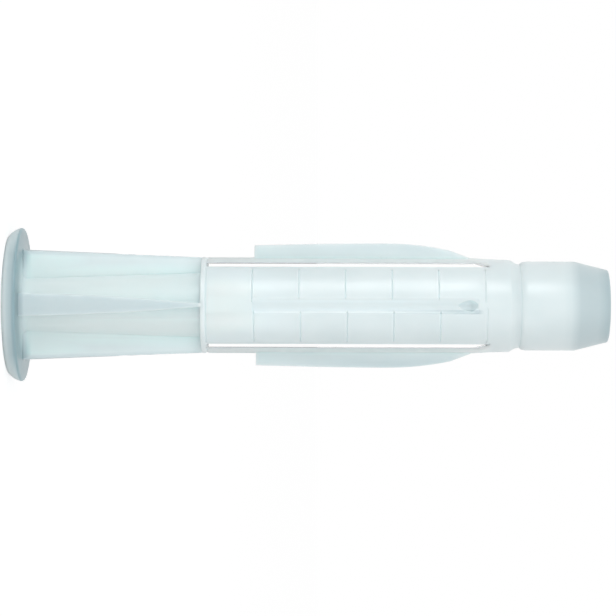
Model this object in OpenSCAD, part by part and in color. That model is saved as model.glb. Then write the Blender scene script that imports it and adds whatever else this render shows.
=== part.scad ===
// Universal wall plug, moulded in one piece from natural nylon.
// The axis is Z. The collar's outer face lies on Z = 0 and the nose points up.
// The wings stand along X, which is the mould's parting plane, and the notched shells face Y.

/* [Collar] */
// Widest diameter of the collar
collar_d = 12.8; // [12:0.1:16]
// Diameter of the collar's flat outer face
collar_face_d = 11.5; // [9:0.1:11.9]
// Thickness of the collar
collar_t = 1.2; // [1:0.1:2.5]
// Height of the rounded slope between the outer face and the widest edge
collar_slope_h = 0.95; // [0.5:0.05:0.95]
// How far that slope bulges out from a straight line
collar_slope_bulge = 0.1; // [0.02:0.01:0.15]

/* [Neck] */
// Length of the ribbed neck
neck_len = 14.9; // [10:0.1:24]
// Diameter over the ribs where they meet the collar
neck_d = 9.2; // [8.4:0.1:10.5]
// Diameter of the tube between the ribs at the collar
tube_collar_d = 4.8; // [4.6:0.1:6]
// Diameter of the tube between the ribs at the ring
tube_ring_d = 5.4; // [4.6:0.1:6.4]
// Width of a rib at the collar
rib_collar_w = 1.9; // [1.2:0.1:2.4]
// Width of a rib at the ring
rib_ring_w = 0.3; // [0.2:0.05:1]
// How far the side of a rib bows out from a straight line
rib_bow = 0.15; // [0.02:0.01:0.25]
// Fillet between the tube and the collar
tube_fillet = 0.4; // [0.1:0.05:0.8]
// Fillet between the outside of the ribs and the collar
rib_fillet = 0.2; // [0.05:0.05:0.4]

/* [Body] */
// Diameter of the body, which is the size of the drilled hole
body_d = 8; // [7.6:0.1:8.4]
// Length of the plain ring between the neck and the side slots
ring_len = 0.45; // [0.4:0.05:3]
// Chamfer on the ring's edge towards the neck
ring_chamfer = 0.07; // [0.05:0.01:0.2]
// Depth of the fine line turned round the body where the slots start
ring_line_depth = 0.08; // [0.02:0.01:0.15]
// Length of the stretch with the side slots
split_len = 23.5; // [18:0.1:36]
// Distance between the inner walls of the two side slots
core_w = 6.4; // [5.8:0.1:6.6]
// Width of a side slot
slot_w = 0.3; // [0.2:0.05:0.45]
// Length of the point at the nose end of a side slot
slot_point_len = 1.1; // [0.3:0.1:2]
// Length over which the body narrows at the end of that stretch
body_taper_len = 1.6; // [0.5:0.1:3]

/* [Wings] */
// Thickness of a wing
wing_t = 1.6; // [0.8:0.1:2.4]
// Distance from the start of the side slots to the start of the wings
wing_gap = 4; // [2:0.1:6]
// Span over the wings where they start
wing_start_span = 10.02; // [9.4:0.02:10.2]
// Largest span over the wings
wing_span = 10.36; // [10.3:0.02:12]
// Length over which a wing rises to its largest span
wing_rise_len = 11; // [6:0.1:11]
// Length over which a wing falls gently from its largest span
wing_fall_len = 5.2; // [2:0.1:5.4]
// Span over the wings where the gentle fall turns into the steep one
wing_corner_span = 9.28; // [8.6:0.02:9.9]
// Length over which a wing falls steeply to the body
wing_end_len = 1.7; // [0.8:0.1:1.9]

/* [Notches and flutes] */
// Distance from the start of the side slots to the first notch
notch_gap = 3.9; // [2:0.1:6]
// Distance between two notches
notch_pitch = 3.85; // [2.5:0.01:6]
// Width of a notch at the surface
notch_w = 0.15; // [0.1:0.05:0.6]
// Depth of a notch
notch_depth = 0.14; // [0.1:0.01:0.35]
// How much higher the wing and the notches of the +X half sit than those of the -X half
half_shift = 0.14; // [0.04:0.02:0.4]
// Distance from the end of a notch to the side slot
notch_margin = 0.25; // [0.1:0.05:0.6]
// Width of the round-bottomed flute along the middle of each shell
flute_w = 1.25; // [0.6:0.05:1.8]
// Depth of the flute
flute_depth = 0.2; // [0.15:0.05:0.5]
// Distance from the end of the flute to the end of the side slots
flute_end_gap = 1; // [0.4:0.1:1.5]
// Largest width of the pocket that the flute ends in
pocket_w = 1; // [0.6:0.05:1.2]
// Depth of the pocket below the flute's floor
pocket_depth = 0.4; // [0.2:0.05:0.45]
// Length over which the pocket widens and deepens
pocket_fall_len = 1.3; // [0.8:0.1:3]
// Length over which it closes again towards the nose
pocket_rise_len = 0.6; // [0.4:0.1:1.5]
// How far the pocket's slopes bulge out from a straight line
pocket_bulge = 0.08; // [0.02:0.01:0.1]

/* [Nose] */
// Diameter of the shoulder at the end of the side slots
shoulder_d = 7.8; // [7.7:0.02:8]
// Diameter of the shoulder at the groove
shoulder_end_d = 7.7; // [7.6:0.02:7.8]
// Length of the shoulder between the side slots and the groove
shoulder_len = 1.7; // [1:0.05:4]
// Diameter at the bottom of the groove
groove_d = 6.98; // [6.6:0.02:7.2]
// Length of the groove
groove_len = 1.45; // [1.4:0.05:2.5]
// Part of the groove's length that lies before its lowest line
groove_fall_len = 0.84; // [0.3:0.02:1.1]
// Height above the groove's bottom at which the steep fall turns gentle
groove_knee_h = 0.06; // [0.02:0.01:0.08]
// Length of the steep rise behind the lowest line
groove_rise_len = 0.12; // [0.1:0.02:0.5]
// Diameter at the top of the steep rise
groove_rise_d = 7.24; // [7.22:0.02:7.36]
// How far the slope between the steep rise and the nose bulges out from a straight line
groove_rise_bulge = 0.02; // [0:0.01:0.03]
// Diameter of the nose
nose_d = 7.44; // [7.38:0.02:7.6]
// Length of the straight nose
nose_len = 4; // [3:0.1:8]
// Length of the tapered tip
tip_len = 2.8; // [1.5:0.1:5]
// Diameter at the end of the taper
tip_d = 6.06; // [5:0.02:7]
// Rounding at the end of the tip
tip_round = 0.08; // [0.04:0.02:0.4]

/* [Bore] */
// Diameter of the bore for the screw
bore_d = 3.8; // [3:0.1:4]
// Diameter of the bore's mouth in the collar's face
mouth_d = 5.6; // [4.4:0.1:7]
// Depth of the mouth's countersink
mouth_depth = 0.9; // [0.4:0.1:1]
// Diameter of the narrow bore that the screw cuts its thread in
grip_bore_d = 2.7; // [2:0.1:2.9]
// Length of the funnel between the two bores
funnel_len = 2.5; // [1:0.1:5]
// Distance from the end of the funnel to the end of the side slots
funnel_end_gap = 1.55; // [0:0.05:4]
// Chamfer at the mouth of the narrow bore
grip_chamfer = 0.25; // [0.05:0.05:0.5]

/* [Hidden] */
$fn = 96;

nylon_colour = [0.84, 0.91, 0.92];

// Steps in an arc that is drawn as points
arc_steps = 8;
// Chamfer that stands for the small round edges of the moulding
edge = 0.1;
// How far a solid runs into its neighbour, or a cut runs out of the solid
lap = 0.4;
// Steep part of the fall into the groove, as a share of the fall's length
groove_steep = 0.62;

// Radii
collar_r = collar_d / 2;
collar_face_r = collar_face_d / 2;
neck_r = neck_d / 2;
tube_collar_r = tube_collar_d / 2;
tube_ring_r = tube_ring_d / 2;
body_r = body_d / 2;
shoulder_r = shoulder_d / 2;
shoulder_end_r = shoulder_end_d / 2;
groove_r = groove_d / 2;
groove_rise_r = groove_rise_d / 2;
nose_r = nose_d / 2;
tip_r = tip_d / 2;
bore_r = bore_d / 2;
mouth_r = mouth_d / 2;
grip_bore_r = grip_bore_d / 2;

// Heights, from the collar to the nose
neck_end = collar_t + neck_len;
ring_end = neck_end + ring_len;
split_end = ring_end + split_len;
body_taper_start = split_end - body_taper_len;
groove_start = split_end + shoulder_len;
groove_low = groove_start + groove_fall_len;
groove_rise_end = groove_low + groove_rise_len;
nose_start = groove_start + groove_len;
tip_start = nose_start + nose_len;
total_len = tip_start + tip_len;

// Wings
wing_start = ring_end + wing_gap;
wing_peak = wing_start + wing_rise_len;
wing_corner = wing_peak + wing_fall_len;
wing_end = wing_corner + wing_end_len;

// Notches and flutes
slot_inner = core_w / 2;
slot_outer = slot_inner + slot_w;
notch_inner = flute_w / 5;
notch_reach = slot_inner - notch_margin;
notch_start = ring_end + notch_gap;
notch_count = 1 + round((split_end - notch_start) / notch_pitch);
flute_start = notch_start - half_shift / 2;
flute_end = split_end - flute_end_gap;
flute_floor = body_r - flute_depth;
// Height of the flute's round bottom, from its floor to its edges
flute_rise = sqrt(body_r ^ 2 - flute_w ^ 2 / 4) - flute_floor;
pocket_r = pocket_w / 2;
pocket_low = flute_end - pocket_rise_len;
pocket_start = pocket_low - pocket_fall_len;

// Bore
funnel_end = split_end - funnel_end_gap;
funnel_start = funnel_end - funnel_len;

// Points of an arc about a centre, in the plane of the points
function arc(centre, r, from, to) =
    [for (i = [0 : arc_steps]) let (a = from + (to - from) * i / arc_steps) centre + r * [cos(a), sin(a)]];

// Radius of an arc that starts along an axis and leaves it by the given rise over the given length
function arc_r(length, rise) = (length ^ 2 + rise ^ 2) / (2 * rise);

// Points from a to b on a curve that bulges to the right of the way by the given height
function bulged(a, b, bulge) =
    let (way = b - a, side = [way.y, -way.x] / norm(way))
    [for (i = [0 : arc_steps]) let (s = i / arc_steps) a + way * s + side * bulge * 4 * s * (1 - s)];

// Turns the outline of a half section, given as [radius, height], about the axis
module turned(points) {
    rotate_extrude() polygon(points);
}

// Extrudes an outline, given as [height, X], across Y by the given thickness
module across_y(points, thickness) {
    rotate([0, -90, -90]) linear_extrude(thickness, center = true) polygon(points);
}

// Extrudes an outline, given as [height, Y], across X by the given thickness
module across_x(points, thickness) {
    rotate([0, -90, 0]) linear_extrude(thickness, center = true) polygon(points);
}

// Collar, tube, ring, body, groove and nose in one turned outline
module turned_body() {
    turned(concat(
        [[0, 0]],
        bulged([collar_face_r, 0], [collar_r, collar_slope_h], collar_slope_bulge),
        [[collar_r, collar_t - edge], [collar_r - edge, collar_t]],
        arc([tube_collar_r + tube_fillet, collar_t + tube_fillet], tube_fillet, 270, 180),
        [
            [tube_ring_r, neck_end],
            [body_r - ring_chamfer, neck_end],
            [body_r, neck_end + ring_chamfer],
            [body_r, ring_end - ring_line_depth],
            [body_r - ring_line_depth, ring_end],
            [body_r, ring_end + ring_line_depth],
            [body_r, body_taper_start],
            [shoulder_r, split_end],
            [shoulder_end_r, groove_start],
            [groove_r + groove_knee_h, groove_start + groove_steep * groove_fall_len],
            [groove_r, groove_low],
        ],
        bulged([groove_rise_r, groove_rise_end], [nose_r, nose_start], groove_rise_bulge),
        [
            [nose_r, tip_start],
            [tip_r, total_len - tip_round],
            [tip_r - tip_round, total_len],
            [0, total_len],
        ]
    ));
}

// Space that the ribs fill: a cone with a fillet at the collar
module rib_envelope() {
    turned(concat(
        [[0, collar_t - lap], [neck_r + rib_fillet, collar_t - lap]],
        arc([neck_r + rib_fillet, collar_t + rib_fillet], rib_fillet, 270, 180),
        [
            [body_r, neck_end],
            [body_r - ring_chamfer, ring_end - ring_line_depth],
            [0, ring_end - ring_line_depth],
        ]
    ));
}

// One web right across the neck, which makes two opposite ribs; its sides narrow towards the ring
module rib_web() {
    collar_corner = [collar_t, rib_collar_w / 2];
    ring_corner = [neck_end, rib_ring_w / 2];
    left = bulged(collar_corner, ring_corner, -rib_bow);
    right = [for (i = [arc_steps : -1 : 0]) [left[i].x, -left[i].y]];
    across_x(concat(
        [[collar_t - lap, -rib_collar_w / 2], [collar_t - lap, rib_collar_w / 2]],
        left,
        [[ring_end, rib_ring_w / 2], [ring_end, -rib_ring_w / 2]],
        right
    ), collar_d);
}

// Four ribs in a cross
module neck_ribs() {
    intersection() {
        rib_envelope();
        union() {
            rib_web();
            rotate(90) rib_web();
        }
    }
}

// Two wings that keep the plug from turning in its hole
module wings() {
    rise_r = arc_r(wing_rise_len, (wing_span - wing_start_span) / 2);
    fall_r = arc_r(wing_fall_len, (wing_span - wing_corner_span) / 2);
    rise_angle = asin(wing_rise_len / rise_r);
    fall_angle = asin(wing_fall_len / fall_r);
    rise = arc([wing_peak, wing_span / 2 - rise_r], rise_r, 90 + rise_angle, 90);
    fall = arc([wing_peak, wing_span / 2 - fall_r], fall_r, 90, 90 - fall_angle);
    for (side = [-1, 1])
        translate([0, 0, side * half_shift / 2]) rotate(side < 0 ? 180 : 0)
            across_y(concat(
                [[wing_start, 0]],
                rise,
                [for (i = [1 : arc_steps]) fall[i]],
                [[wing_end, body_r], [wing_end, 0]]
            ), wing_t);
}

// Slots that part the outer strips from the core, open from front to back
module side_slots() {
    point_start = split_end - slot_point_len;
    for (side = [0, 180]) rotate(side)
        across_y([
            [ring_end, slot_inner],
            [ring_end, slot_outer],
            [point_start, slot_outer],
            [split_end, slot_inner],
        ], collar_d);
}

// Fine notches across both shells, where the plug folds in a hollow wall; those of the +X half sit higher
module notches() {
    half_w = notch_w / 2 * (notch_depth + lap) / notch_depth;
    for (side = [-1, 1]) intersection() {
        for (i = [0 : notch_count - 1])
            translate([0, 0, notch_start + side * half_shift / 2 + i * notch_pitch])
                turned([[body_r - notch_depth, 0], [body_r + lap, -half_w], [body_r + lap, half_w]]);
        translate([side < 0 ? -notch_reach : notch_inner, -collar_r, 0])
            cube([notch_reach - notch_inner, collar_d, total_len]);
    }
}

// Round-bottomed flutes along the middle of both shells
module flutes() {
    flute_r = arc_r(flute_w / 2, flute_rise);
    for (side = [-1, 1])
        translate([0, side * (flute_floor + flute_r), flute_start])
            cylinder(h = flute_end - flute_start, r = flute_r);
}

// Round pockets that the flutes end in, longer towards the collar than towards the nose
module pockets() {
    for (side = [-1, 1])
        translate([0, side * (flute_floor + pocket_r - pocket_depth), 0])
            turned(concat(
                bulged([0, pocket_start], [pocket_r, pocket_low], pocket_bulge),
                bulged([pocket_r, pocket_low], [0, flute_end], pocket_bulge)
            ));
}

// Screw bore with its countersunk mouth, funnel and narrow end
module bore() {
    turned([
        [0, -lap],
        [mouth_r + lap * (mouth_r - bore_r) / mouth_depth, -lap],
        [bore_r, mouth_depth],
        [bore_r, funnel_start],
        [grip_bore_r, funnel_end],
        [grip_bore_r, total_len - grip_chamfer],
        [grip_bore_r + grip_chamfer + lap, total_len + lap],
        [0, total_len + lap],
    ]);
}

module plug() {
    color(nylon_colour) difference() {
        union() {
            turned_body();
            neck_ribs();
            wings();
        }
        side_slots();
        notches();
        flutes();
        pockets();
        bore();
    }
}

plug();
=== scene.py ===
import math

import bmesh
import bpy
from mathutils import Matrix, Vector


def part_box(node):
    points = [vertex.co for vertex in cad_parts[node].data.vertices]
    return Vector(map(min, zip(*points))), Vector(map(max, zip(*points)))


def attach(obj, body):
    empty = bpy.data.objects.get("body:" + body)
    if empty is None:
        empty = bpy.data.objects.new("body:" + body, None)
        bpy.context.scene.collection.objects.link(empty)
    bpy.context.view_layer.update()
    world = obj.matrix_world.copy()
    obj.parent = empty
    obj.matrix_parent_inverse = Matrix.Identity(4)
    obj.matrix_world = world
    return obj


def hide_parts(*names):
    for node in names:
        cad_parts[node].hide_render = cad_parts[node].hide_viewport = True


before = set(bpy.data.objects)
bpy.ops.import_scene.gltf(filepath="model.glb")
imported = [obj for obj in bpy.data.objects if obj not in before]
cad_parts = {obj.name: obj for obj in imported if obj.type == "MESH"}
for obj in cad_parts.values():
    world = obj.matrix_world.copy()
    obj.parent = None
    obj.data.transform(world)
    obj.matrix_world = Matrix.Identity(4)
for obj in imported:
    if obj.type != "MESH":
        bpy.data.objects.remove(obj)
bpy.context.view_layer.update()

# Sizes in metres
MM = 0.001
PLUG_LOW, PLUG_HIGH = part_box("plug")
PLUG_LENGTH = PLUG_HIGH.z - PLUG_LOW.z
PLUG_MIDDLE = (PLUG_LOW + PLUG_HIGH) / 2

# Where the photograph shows the plug, in pixels of its 616 x 616 frame
IMAGE_SIDE = 616
COLLAR_FACE_PX = 9.8
NOSE_END_PX = 607.4
AXIS_ABOVE_CENTRE_PX = 2.5
CAMERA_FOOT_PX = 340
CAMERA_DISTANCE_PX = 2600
AXIS_TILT = math.radians(0.16)
SENSOR = 36
NEAR_CLIP, FAR_CLIP = 10 * MM, 10
METRES_PER_PX = PLUG_LENGTH / (NOSE_END_PX - COLLAR_FACE_PX)

# Soft edges of the moulding
MERGE_DISTANCE = 0.0005 * MM
FLAT_ANGLE = math.radians(0.6)
EDGE_ROUND, EDGE_SEGMENTS = 0.05 * MM, 2
EDGE_ANGLE = math.radians(24)
KNIFE_ANGLE = math.radians(120)
SMOOTH_ANGLE = math.radians(32)

# Places where edges stay as moulded, in millimetres: heights from the collar's face,
# distances from the axis, and distances from the plane between the wings
SEAT_FOOT_Z = (1.15, 1.5)
SEAT_FOOT_R = 5
RING_Z = (16.05, 16.4)
BODY_Z = (16.5, 39.3)
NOTCH_FIRST_Z, NOTCH_PITCH, NOTCH_COUNT, NOTCH_REACH = 20.45, 3.85, 6, 0.25
SLOT_END_Z = (38.3, 40.2)
BORE_MOUTH_Z = 49.5
SLOT_X, FLUTE_X, BORE_R = 3.1, 0.7, 3.05

# Colours of the nylon: cloudy between dull and clear, with painted shade where it is thick or turned from
# the lamps, and painted light where light would shine through it, which is a shade greener in the neck and
# the side strips
NYLON_DULL = (0.745, 0.835, 0.85)
NYLON_CLEAR = (0.79, 0.875, 0.89)
NYLON_PAINTED_LIGHT = (0.838, 0.952, 0.995)
NYLON_PAINTED_LIGHT_GREENER = (0.81, 0.975, 0.97)
NYLON_PAINTED_SHADE = (0.27, 0.40, 0.44)

# How much painted shade or painted light the nylon gets, as (millimetres, share) along the plug's height
COLLAR_PAINTED_SHADE = [(0.3, 0), (0.5, 0.28), (0.82, 0.55), (0.98, 0.88), (1.08, 1), (1.2, 1),
                (1.3, 0.66), (1.5, 0.56), (1.95, 0)]
NOSE_PAINTED_SHADE = [(46.1, 0), (46.7, 0.07), (47.05, 0.22), (47.5, 0.38), (49, 0.38), (49.5, 0.5), (50, 0.65)]
NECK_SPAN = [(1.2, 0), (1.6, 1), (15.9, 1), (16.1, 0)]
TUBE_SPAN = [(1.2, 0), (1.6, 1), (6, 0.8), (15.9, 0.35), (16.1, 0)]
NEAR_COLLAR = [(1.2, 0), (1.6, 1), (3.5, 0.9), (7, 0)]
BODY_SPAN = [(16.5, 0), (16.6, 1), (39.5, 1), (40.5, 0)]

# The same, along the distance from the axis: painted light on the neck's tube and the spread of the
# collar's painted shade
TUBE_PAINTED_LIGHT = [(3, 1), (3.6, 0)]
COLLAR_SHADE_SPREAD = [(2.7, 0.1), (3.8, 0.55), (4.6, 0.9), (5.6, 1)]

# The same, for painted light in the neck's valleys and painted shade on the ribs' fronts, along the
# distance from the axis with what the ribs lose in height, NECK_CONE per millimetre
NECK_CONE = 0.0403
VALLEY_PAINTED_LIGHT = [(4.2, 1), (4.5, 0)]
RIB_PAINTED_SHADE = [(4.35, 0), (4.6, 0.26)]

# The same, for painted light across the neck, on its valley on the +X side
LOW_VALLEY_PAINTED_LIGHT = [(0.9, 0), (1.2, 1), (2.6, 1), (3, 0)]

# The same, for the collar's coned edge, whose painted shade lightens towards the wings, and for its rim
# and seat
CONE_SHADE_ASIDE = [(4.2, 1), (5.2, 0.65), (6, 0.45)]
RIM_AND_SEAT_SHADE = [(0.9, 0), (1.05, 1)]

# The same, for the painted light on the body between ring and notches: along the height and across it
BODY_START_PAINTED_LIGHT = [(16.3, 0), (16.9, 1), (19.5, 0.85), (24, 0)]
START_ASIDE = [(0, 0.7), (0.5, 0.75), (1.1, 1), (1.5, 1), (2.4, 0.35), (3.1, 0.25)]

# The same, for the painted light on the notches: from the axis, along the height and across, between the
# flute and the slots
NOTCH_PAINTED_LIGHT = [(3.8, 0.3), (3.86, 1), (3.97, 1), (3.995, 0)]
NOTCH_SPAN = [(19.9, 0), (20.1, 1), (38.4, 1), (38.5, 0)]
BESIDE_FLUTE = [(0.6, 0), (0.7, 1), (3.1, 1), (3.15, 0)]

# The same, for the painted light across the side slots' edges, and for the side strips, where the painted
# light turns greener
SLOT_EDGE_PAINTED_LIGHT = [(3.1, 0), (3.2, 1), (3.7, 1), (4.2, 0)]
STRIP_SPAN = [(3.5, 0), (3.6, 1)]

# The same, for the painted shade on the wings, towards their outer edges and most on the +X wing: across
# them and along the height
WING_PAINTED_SHADE = [(-5, 0.2), (-4.1, 0), (4.1, 0), (5, 0.38)]
WING_SHADE_SPAN = [(21, 0.15), (26, 0.4), (30, 0.85), (34, 1)]

# The same, for the painted light on the flute's floor: across it and along the height
FLUTE_FLOOR = [(0.35, 1), (0.5, 0)]
FLUTE_PAINTED_LIGHT = [(20.3, 0), (20.5, 0.6), (32, 0.6), (36, 0.1), (37, 0)]

# The same, for the painted shade that dulls the highlight on the flute's side towards the +X wing: across
# it and along the height
FLUTE_SIDE = [(0.3, 0), (0.42, 1), (0.66, 1), (0.72, 0)]
FLUTE_SIDE_PAINTED_SHADE = [(20.3, 0), (20.5, 0.08), (30, 0.08), (34, 0.18), (36, 0.32), (37.3, 0.45),
                    (38.9, 0.48), (39.3, 0.12), (39.5, 0)]

# The same, for the painted light on the pocket's side towards the -X wing: across it, from the axis and
# along the height
POCKET_SIDE = [(-0.5, 0.8), (-0.25, 0.6), (0, 0)]
POCKET_FLOOR = [(3.4, 1), (3.7, 1), (3.79, 0)]
POCKET_SPAN = [(37.1, 0), (37.3, 1), (39, 1), (39.1, 0)]

# Where the walls of the side slots lie: across them, along the height and from the axis
SLOT_WALLS = [(3.15, 0), (3.17, 1), (3.52, 1), (3.54, 0)]
SLOT_SPAN = [(16.5, 0), (16.6, 1), (40.3, 1), (40.6, 0)]
INSIDE_SKIN = [(3.78, 1), (3.86, 0)]

# The nylon's noises, as scale per metre, detail and seed, and its skin and inside
CLOUDS = (260, 2, 3.1)
SKIN = (900, 3, 7.7)
WAVES = (420, 1, 1.3)
GRAIN = (7000, 2, 5.9)
NOISE_LOW, NOISE_HIGH = 0.3, 0.7
ROUGHNESS_LOW, ROUGHNESS_HIGH = 0.29, 0.355
SLOT_WALL_POLISH = 0.75
WAVE_HEIGHT, GRAIN_HEIGHT = 0.012 * MM, 0.0012 * MM
NYLON_IOR, GLOSS_LEVEL, SCATTER_DEPTH = 1.5, 0.65, 0.6 * MM

# Floor, room and lamps; a softbox has its angles up and right in the photograph, its distance from
# the plug's middle, its side in metres and its watts
FLOOR_SIDE = 6
FLOOR_PAPER = (0.85, 0.85, 0.85, 1)
FLOOR_GLOW, FLOOR_GLOW_SHARE = 1.8, 0.35
ROOM_LIGHT, PLAIN_WHITE = 0.66, 1.0
SOFTBOXES = {
    "key_softbox": ((48, 0, 0.5), 0.2, 0.84),
    "front_softbox": ((0, 0, 0.5), 0.7, 0.84),
    "low_softbox": ((-45, -8, 0.11), 0.06, 0.0165),
}


def clear_selection():
    """Leaves edit mode and selects nothing."""
    if bpy.context.object and bpy.context.object.mode != "OBJECT":
        bpy.ops.object.mode_set(mode="OBJECT")
    bpy.ops.object.select_all(action="DESELECT")


def select_only(piece):
    """Selects one object and makes it the active one."""
    clear_selection()
    piece.select_set(True)
    bpy.context.view_layer.objects.active = piece


def make_camera():
    """A camera square to the plug's axis, rolled so that the nose points to the right."""
    foot_z = PLUG_LOW.z + (CAMERA_FOOT_PX - COLLAR_FACE_PX) * METRES_PER_PX
    foot_x = AXIS_ABOVE_CENTRE_PX * METRES_PER_PX
    place = Vector((foot_x, -CAMERA_DISTANCE_PX * METRES_PER_PX, foot_z))
    bpy.ops.object.camera_add(location=place)
    camera = bpy.context.object
    camera.name = "camera"
    camera.data.lens = SENSOR * CAMERA_DISTANCE_PX / IMAGE_SIDE
    camera.data.sensor_width = SENSOR
    camera.data.shift_x = (IMAGE_SIDE / 2 - CAMERA_FOOT_PX) / IMAGE_SIDE
    camera.data.clip_start = NEAR_CLIP
    camera.data.clip_end = FAR_CLIP
    right, up, back = Vector((0, 0, 1)), Vector((-1, 0, 0)), Vector((0, -1, 0))
    turn = Matrix((right, up, back)).transposed()
    camera.matrix_world = Matrix.Translation(place) @ turn.to_4x4() @ Matrix.Rotation(AXIS_TILT, 4, "Z")
    bpy.context.scene.camera = camera


def new_material(name):
    """An empty node material with its output, its tree's nodes and a function that links two sockets."""
    material = bpy.data.materials.new(name)
    material.use_nodes = True
    nodes = material.node_tree.nodes
    nodes.clear()
    output = nodes.new("ShaderNodeOutputMaterial")
    return material, nodes, material.node_tree.links.new, output


def noise_on(nodes, link, place, kind):
    """Smooth noise at a place, of a kind given as scale per metre, detail and seed."""
    scale, detail, seed = kind
    noise = nodes.new("ShaderNodeTexNoise")
    noise.noise_dimensions = "4D"
    noise.inputs["W"].default_value = seed
    noise.inputs["Scale"].default_value = scale
    noise.inputs["Detail"].default_value = detail
    link(place, noise.inputs["Vector"])
    return noise.outputs["Fac"]


def spread(nodes, link, value, low, high):
    """Maps a noise value's middle range to the range from low to high."""
    ramp = nodes.new("ShaderNodeMapRange")
    ramp.inputs["From Min"].default_value = NOISE_LOW
    ramp.inputs["From Max"].default_value = NOISE_HIGH
    ramp.inputs["To Min"].default_value = low
    ramp.inputs["To Max"].default_value = high
    link(value, ramp.inputs["Value"])
    return ramp.outputs["Result"]


def math_on(nodes, link, operation, first, second=0.0):
    """One math node on two sockets or numbers."""
    node = nodes.new("ShaderNodeMath")
    node.operation = operation
    for slot, value in zip(node.inputs, (first, second)):
        if isinstance(value, (int, float)):
            slot.default_value = value
        else:
            link(value, slot)
    return node.outputs["Value"]


def combine(nodes, link, operation, values):
    """One operation over several sockets, from the first to the last."""
    result = values[0]
    for value in values[1:]:
        result = math_on(nodes, link, operation, result, value)
    return result


def profile_on(nodes, link, value, points):
    """Reads a value off the straight lines through points, each a pair of input and result from 0 to 1."""
    start, end = points[0][0], points[-1][0]
    ramp = nodes.new("ShaderNodeValToRGB")
    stops = ramp.color_ramp.elements
    while len(stops) < len(points):
        stops.new(1)
    for stop, (at, level) in zip(stops, points):
        stop.position = (at - start) / (end - start)
        stop.color = (level, level, level, 1)
    along = nodes.new("ShaderNodeMapRange")
    along.inputs["From Min"].default_value = start
    along.inputs["From Max"].default_value = end
    link(value, along.inputs["Value"])
    link(along.outputs["Result"], ramp.inputs["Fac"])
    return ramp.outputs["Color"]


def zone_on(nodes, link, *profiles):
    """The product of several profiles, each a pair of a distance's socket and its points."""
    return combine(nodes, link, "MULTIPLY", [profile_on(nodes, link, *profile) for profile in profiles])


def blend_on(nodes, link, factor, first, second):
    """Mixes two colours, each a socket or red, green and blue."""
    mix = nodes.new("ShaderNodeMix")
    mix.data_type = "RGBA"
    link(factor, mix.inputs["Factor"])
    for name, value in (("A", first), ("B", second)):
        if isinstance(value, tuple):
            mix.inputs[name].default_value = (*value, 1)
        else:
            link(value, mix.inputs[name])
    return mix.outputs["Result"]


def places_in_mm(nodes, link, place):
    """Height, distance from the axis, X, and distance from the plane between the wings, in millimetres."""
    scaled = nodes.new("ShaderNodeVectorMath")
    scaled.operation = "SCALE"
    scaled.inputs["Scale"].default_value = 1 / MM
    link(place, scaled.inputs["Vector"])
    parts = nodes.new("ShaderNodeSeparateXYZ")
    link(scaled.outputs["Vector"], parts.inputs["Vector"])
    flat = nodes.new("ShaderNodeCombineXYZ")
    link(parts.outputs["X"], flat.inputs["X"])
    link(parts.outputs["Y"], flat.inputs["Y"])
    radius = nodes.new("ShaderNodeVectorMath")
    radius.operation = "LENGTH"
    link(flat.outputs["Vector"], radius.inputs[0])
    across = parts.outputs["X"]
    return parts.outputs["Z"], radius.outputs["Value"], across, math_on(nodes, link, "ABSOLUTE", across)


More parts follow.
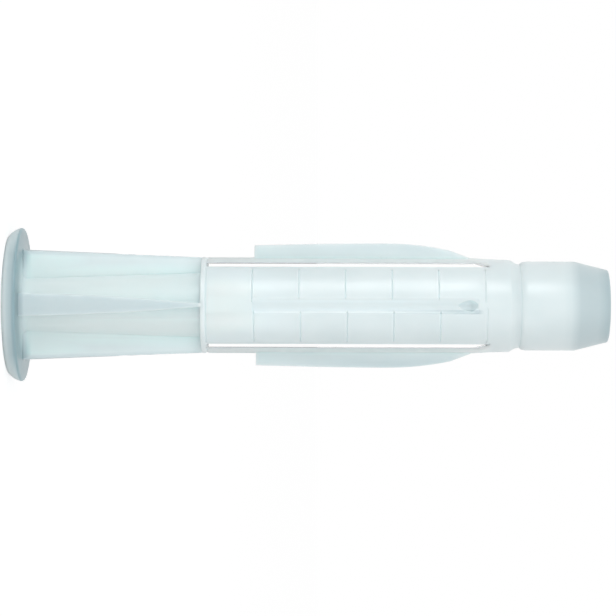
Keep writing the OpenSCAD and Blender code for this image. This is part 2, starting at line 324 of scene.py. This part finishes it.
def nylon_colour(nodes, link, place):
    """Cloudy base colour, with painted shade where the moulding is thick or turned from the lamps, and
    painted light in the neck's valleys, beside the slots, in the notches and the flute, and at the body's
    start.
    """
    height, radius, across, aside = places_in_mm(nodes, link, place)
    in_neck = profile_on(nodes, link, height, NECK_SPAN)
    on_body = profile_on(nodes, link, height, BODY_SPAN)
    rib_loss = math_on(nodes, link, "MULTIPLY", height, NECK_CONE)
    rib_radius = math_on(nodes, link, "ADD", radius, rib_loss)

    # Painted shade: on the collar's cone, rim and seat, the ribs' fronts, the nose, the wings' edges and
    # the flute's side
    cone = combine(nodes, link, "MAXIMUM", [
        profile_on(nodes, link, aside, CONE_SHADE_ASIDE),
        profile_on(nodes, link, height, RIM_AND_SEAT_SHADE),
    ])
    collar = zone_on(nodes, link, (height, COLLAR_PAINTED_SHADE), (radius, COLLAR_SHADE_SPREAD))
    ribs = profile_on(nodes, link, rib_radius, RIB_PAINTED_SHADE)
    wings = zone_on(nodes, link, (across, WING_PAINTED_SHADE), (height, WING_SHADE_SPAN))
    painted_shade = combine(nodes, link, "MAXIMUM", [
        math_on(nodes, link, "MULTIPLY", collar, cone),
        math_on(nodes, link, "MULTIPLY", ribs, in_neck),
        profile_on(nodes, link, height, NOSE_PAINTED_SHADE),
        math_on(nodes, link, "MULTIPLY", wings, on_body),
        zone_on(nodes, link, (across, FLUTE_SIDE), (height, FLUTE_SIDE_PAINTED_SHADE)),
    ])

    # Painted light: in the neck's valleys, beside the slots, at the body's start, in the notches and the
    # flute, and on the pocket's side
    along_tube = combine(nodes, link, "MAXIMUM", [
        profile_on(nodes, link, height, TUBE_SPAN),
        profile_on(nodes, link, across, LOW_VALLEY_PAINTED_LIGHT),
    ])
    tube = [along_tube, in_neck, profile_on(nodes, link, radius, TUBE_PAINTED_LIGHT)]
    slots = profile_on(nodes, link, aside, SLOT_EDGE_PAINTED_LIGHT)
    pale = combine(nodes, link, "MAXIMUM", [
        combine(nodes, link, "MULTIPLY", tube),
        zone_on(nodes, link, (rib_radius, VALLEY_PAINTED_LIGHT), (height, NEAR_COLLAR)),
        math_on(nodes, link, "MULTIPLY", slots, on_body),
        zone_on(nodes, link, (height, BODY_START_PAINTED_LIGHT), (aside, START_ASIDE)),
        zone_on(nodes, link, (radius, NOTCH_PAINTED_LIGHT), (height, NOTCH_SPAN), (aside, BESIDE_FLUTE)),
        zone_on(nodes, link, (aside, FLUTE_FLOOR), (height, FLUTE_PAINTED_LIGHT), (radius, NOTCH_PAINTED_LIGHT)),
        zone_on(nodes, link, (radius, POCKET_FLOOR), (height, POCKET_SPAN), (across, POCKET_SIDE)),
    ])

    clouds = spread(nodes, link, noise_on(nodes, link, place, CLOUDS), 0, 1)
    cloudy = blend_on(nodes, link, clouds, NYLON_DULL, NYLON_CLEAR)
    # The painted light is a shade greener in the neck and the side strips
    strips = math_on(nodes, link, "MULTIPLY", profile_on(nodes, link, aside, STRIP_SPAN), on_body)
    greener_share = math_on(nodes, link, "MAXIMUM", in_neck, strips)
    painted_light_colour = blend_on(nodes, link, greener_share, NYLON_PAINTED_LIGHT, NYLON_PAINTED_LIGHT_GREENER)
    return blend_on(nodes, link, painted_shade, blend_on(nodes, link, pale, cloudy, painted_light_colour), NYLON_PAINTED_SHADE)


def nylon_roughness(nodes, link, place):
    """Satin as moulded, and glossy on the walls of the side slots, which slide off polished steel."""
    height, radius, _, aside = places_in_mm(nodes, link, place)
    satin = spread(nodes, link, noise_on(nodes, link, place, SKIN), ROUGHNESS_LOW, ROUGHNESS_HIGH)
    walls = zone_on(nodes, link, (aside, SLOT_WALLS), (height, SLOT_SPAN), (radius, INSIDE_SKIN))
    polish = math_on(nodes, link, "MULTIPLY", walls, SLOT_WALL_POLISH)
    return math_on(nodes, link, "MULTIPLY", satin, math_on(nodes, link, "SUBTRACT", 1, polish))


def bump_on(nodes, link, place, kind, depth):
    """A bump node on one kind of noise."""
    bump = nodes.new("ShaderNodeBump")
    bump.inputs["Distance"].default_value = depth
    link(noise_on(nodes, link, place, kind), bump.inputs["Height"])
    return bump


def natural_nylon():
    """Milky, slightly bluish nylon with the satin skin of a moulding."""
    material, nodes, link, output = new_material("natural nylon")
    shader = nodes.new("ShaderNodeBsdfPrincipled")
    link(shader.outputs["BSDF"], output.inputs["Surface"])
    place = nodes.new("ShaderNodeTexCoord").outputs["Object"]
    link(nylon_colour(nodes, link, place), shader.inputs["Base Color"])
    link(nylon_roughness(nodes, link, place), shader.inputs["Roughness"])
    shader.inputs["IOR"].default_value = NYLON_IOR
    shader.inputs["Subsurface Weight"].default_value = 1.0
    shader.inputs["Subsurface Radius"].default_value = (1.0, 1.0, 1.0)
    shader.inputs["Subsurface Scale"].default_value = SCATTER_DEPTH
    shader.inputs["Specular IOR Level"].default_value = GLOSS_LEVEL

    waves = bump_on(nodes, link, place, WAVES, WAVE_HEIGHT)
    grain = bump_on(nodes, link, place, GRAIN, GRAIN_HEIGHT)
    link(waves.outputs["Normal"], grain.inputs["Normal"])
    link(grain.outputs["Normal"], shader.inputs["Normal"])
    return material


def within(value, span):
    """Whether a value lies inside a span, given by its two ends."""
    return span[0] < value < span[1]


def is_open_edge(edge):
    """Whether an edge is a sharp outer one, clear of the notches, flutes, slot ends, ring and rib feet."""
    if not edge.is_manifold or not edge.is_convex:
        return False
    if not EDGE_ANGLE < edge.calc_face_angle() < KNIFE_ANGLE:
        return False
    for corner in edge.verts:
        x, y, z = (abs(value) / MM for value in corner.co)
        radius = math.hypot(x, y)
        nearest = round((z - NOTCH_FIRST_Z) / NOTCH_PITCH)
        from_notch = abs(z - NOTCH_FIRST_Z - nearest * NOTCH_PITCH)
        in_notch = 0 <= nearest < NOTCH_COUNT and from_notch < NOTCH_REACH
        if (
            radius < BORE_R and z < BORE_MOUTH_Z
            or within(z, BODY_Z) and (x < FLUTE_X or x < SLOT_X and in_notch)
            or within(z, SLOT_END_Z) and x > SLOT_X
            or within(z, RING_Z)
            or within(z, SEAT_FOOT_Z) and radius < SEAT_FOOT_R
        ):
            return False
    return True


def finish_plug(material):
    """The moulding with its open edges slightly rounded, as a piece of its own."""
    select_only(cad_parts["plug"])
    bpy.ops.object.duplicate()
    plug = bpy.context.object
    plug.name = "wall_plug"
    bpy.ops.mesh.customdata_custom_splitnormals_clear()
    bpy.ops.object.mode_set(mode="EDIT")
    bpy.ops.mesh.select_all(action="SELECT")
    bpy.ops.mesh.remove_doubles(threshold=MERGE_DISTANCE)
    bpy.ops.mesh.normals_make_consistent(inside=False)
    bpy.ops.mesh.dissolve_limited(angle_limit=FLAT_ANGLE)
    bpy.ops.mesh.select_all(action="DESELECT")
    bpy.ops.mesh.select_mode(type="EDGE")
    shape = bmesh.from_edit_mesh(plug.data)
    for edge in shape.edges:
        edge.select = is_open_edge(edge)
    bmesh.update_edit_mesh(plug.data)
    bpy.ops.mesh.bevel(offset=EDGE_ROUND, segments=EDGE_SEGMENTS, clamp_overlap=False)
    bpy.ops.object.mode_set(mode="OBJECT")
    bpy.ops.object.shade_smooth_by_angle(angle=SMOOTH_ANGLE)
    plug.data.materials.clear()
    plug.data.materials.append(material)
    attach(plug, "root")
    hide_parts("plug")


def make_floor():
    """A large pale floor that shows white to the camera and keeps a soft shadow."""
    bpy.ops.mesh.primitive_plane_add(size=FLOOR_SIDE, location=(0, 0, PLUG_LOW.z))
    floor = bpy.context.object
    floor.name = "floor"
    material, nodes, link, output = new_material("pale floor")
    light_path = nodes.new("ShaderNodeLightPath")
    paper = nodes.new("ShaderNodeBsdfDiffuse")
    paper.inputs["Color"].default_value = FLOOR_PAPER
    glow = nodes.new("ShaderNodeEmission")
    glow.inputs["Strength"].default_value = FLOOR_GLOW
    share = math_on(nodes, link, "MULTIPLY", light_path.outputs["Is Camera Ray"], FLOOR_GLOW_SHARE)
    mix = nodes.new("ShaderNodeMixShader")
    link(share, mix.inputs["Fac"])
    link(paper.outputs["BSDF"], mix.inputs[1])
    link(glow.outputs["Emission"], mix.inputs[2])
    link(mix.outputs["Shader"], output.inputs["Surface"])
    floor.data.materials.append(material)


def make_world():
    """Even, soft room light; the camera, gloss and clear materials see plain white."""
    world = bpy.data.worlds.new("white studio")
    bpy.context.scene.world = world
    world.use_nodes = True
    nodes, link = world.node_tree.nodes, world.node_tree.links.new
    background = nodes["Background"]
    background.inputs["Color"].default_value = (1, 1, 1, 1)
    rays = nodes.new("ShaderNodeLightPath").outputs
    seen = combine(nodes, link, "MAXIMUM", [
        rays["Is Camera Ray"],
        rays["Is Glossy Ray"],
        rays["Is Transmission Ray"],
    ])
    strength = nodes.new("ShaderNodeMapRange")
    strength.inputs["To Min"].default_value = ROOM_LIGHT
    strength.inputs["To Max"].default_value = PLAIN_WHITE
    link(seen, strength.inputs["Value"])
    link(strength.outputs["Result"], background.inputs["Strength"])


def towards(angle_up, angle_right, distance):
    """A place seen from the plug's middle: angles from the camera's side, up and right in the photo."""
    up, right = math.radians(angle_up), math.radians(angle_right)
    way = Vector((-math.sin(up), -math.cos(up) * math.cos(right), math.cos(up) * math.sin(right)))
    return PLUG_MIDDLE + way * distance


def make_softbox(name, place, side, watts):
    """A square softbox that shines at the middle of the plug."""
    bpy.ops.object.light_add(type="AREA", location=place)
    lamp = bpy.context.object
    lamp.name = name
    lamp.data.shape = "SQUARE"
    lamp.data.size = side
    lamp.data.energy = watts
    lamp.rotation_mode = "QUATERNION"
    lamp.rotation_quaternion = (PLUG_MIDDLE - place).to_track_quat("-Z", "Y")
    lamp.visible_camera = False


make_camera()
make_world()
make_floor()
for softbox, (way, side, watts) in SOFTBOXES.items():
    make_softbox(softbox, towards(*way), side, watts)
finish_plug(natural_nylon())

scene = bpy.context.scene
scene.view_settings.view_transform = "Standard"
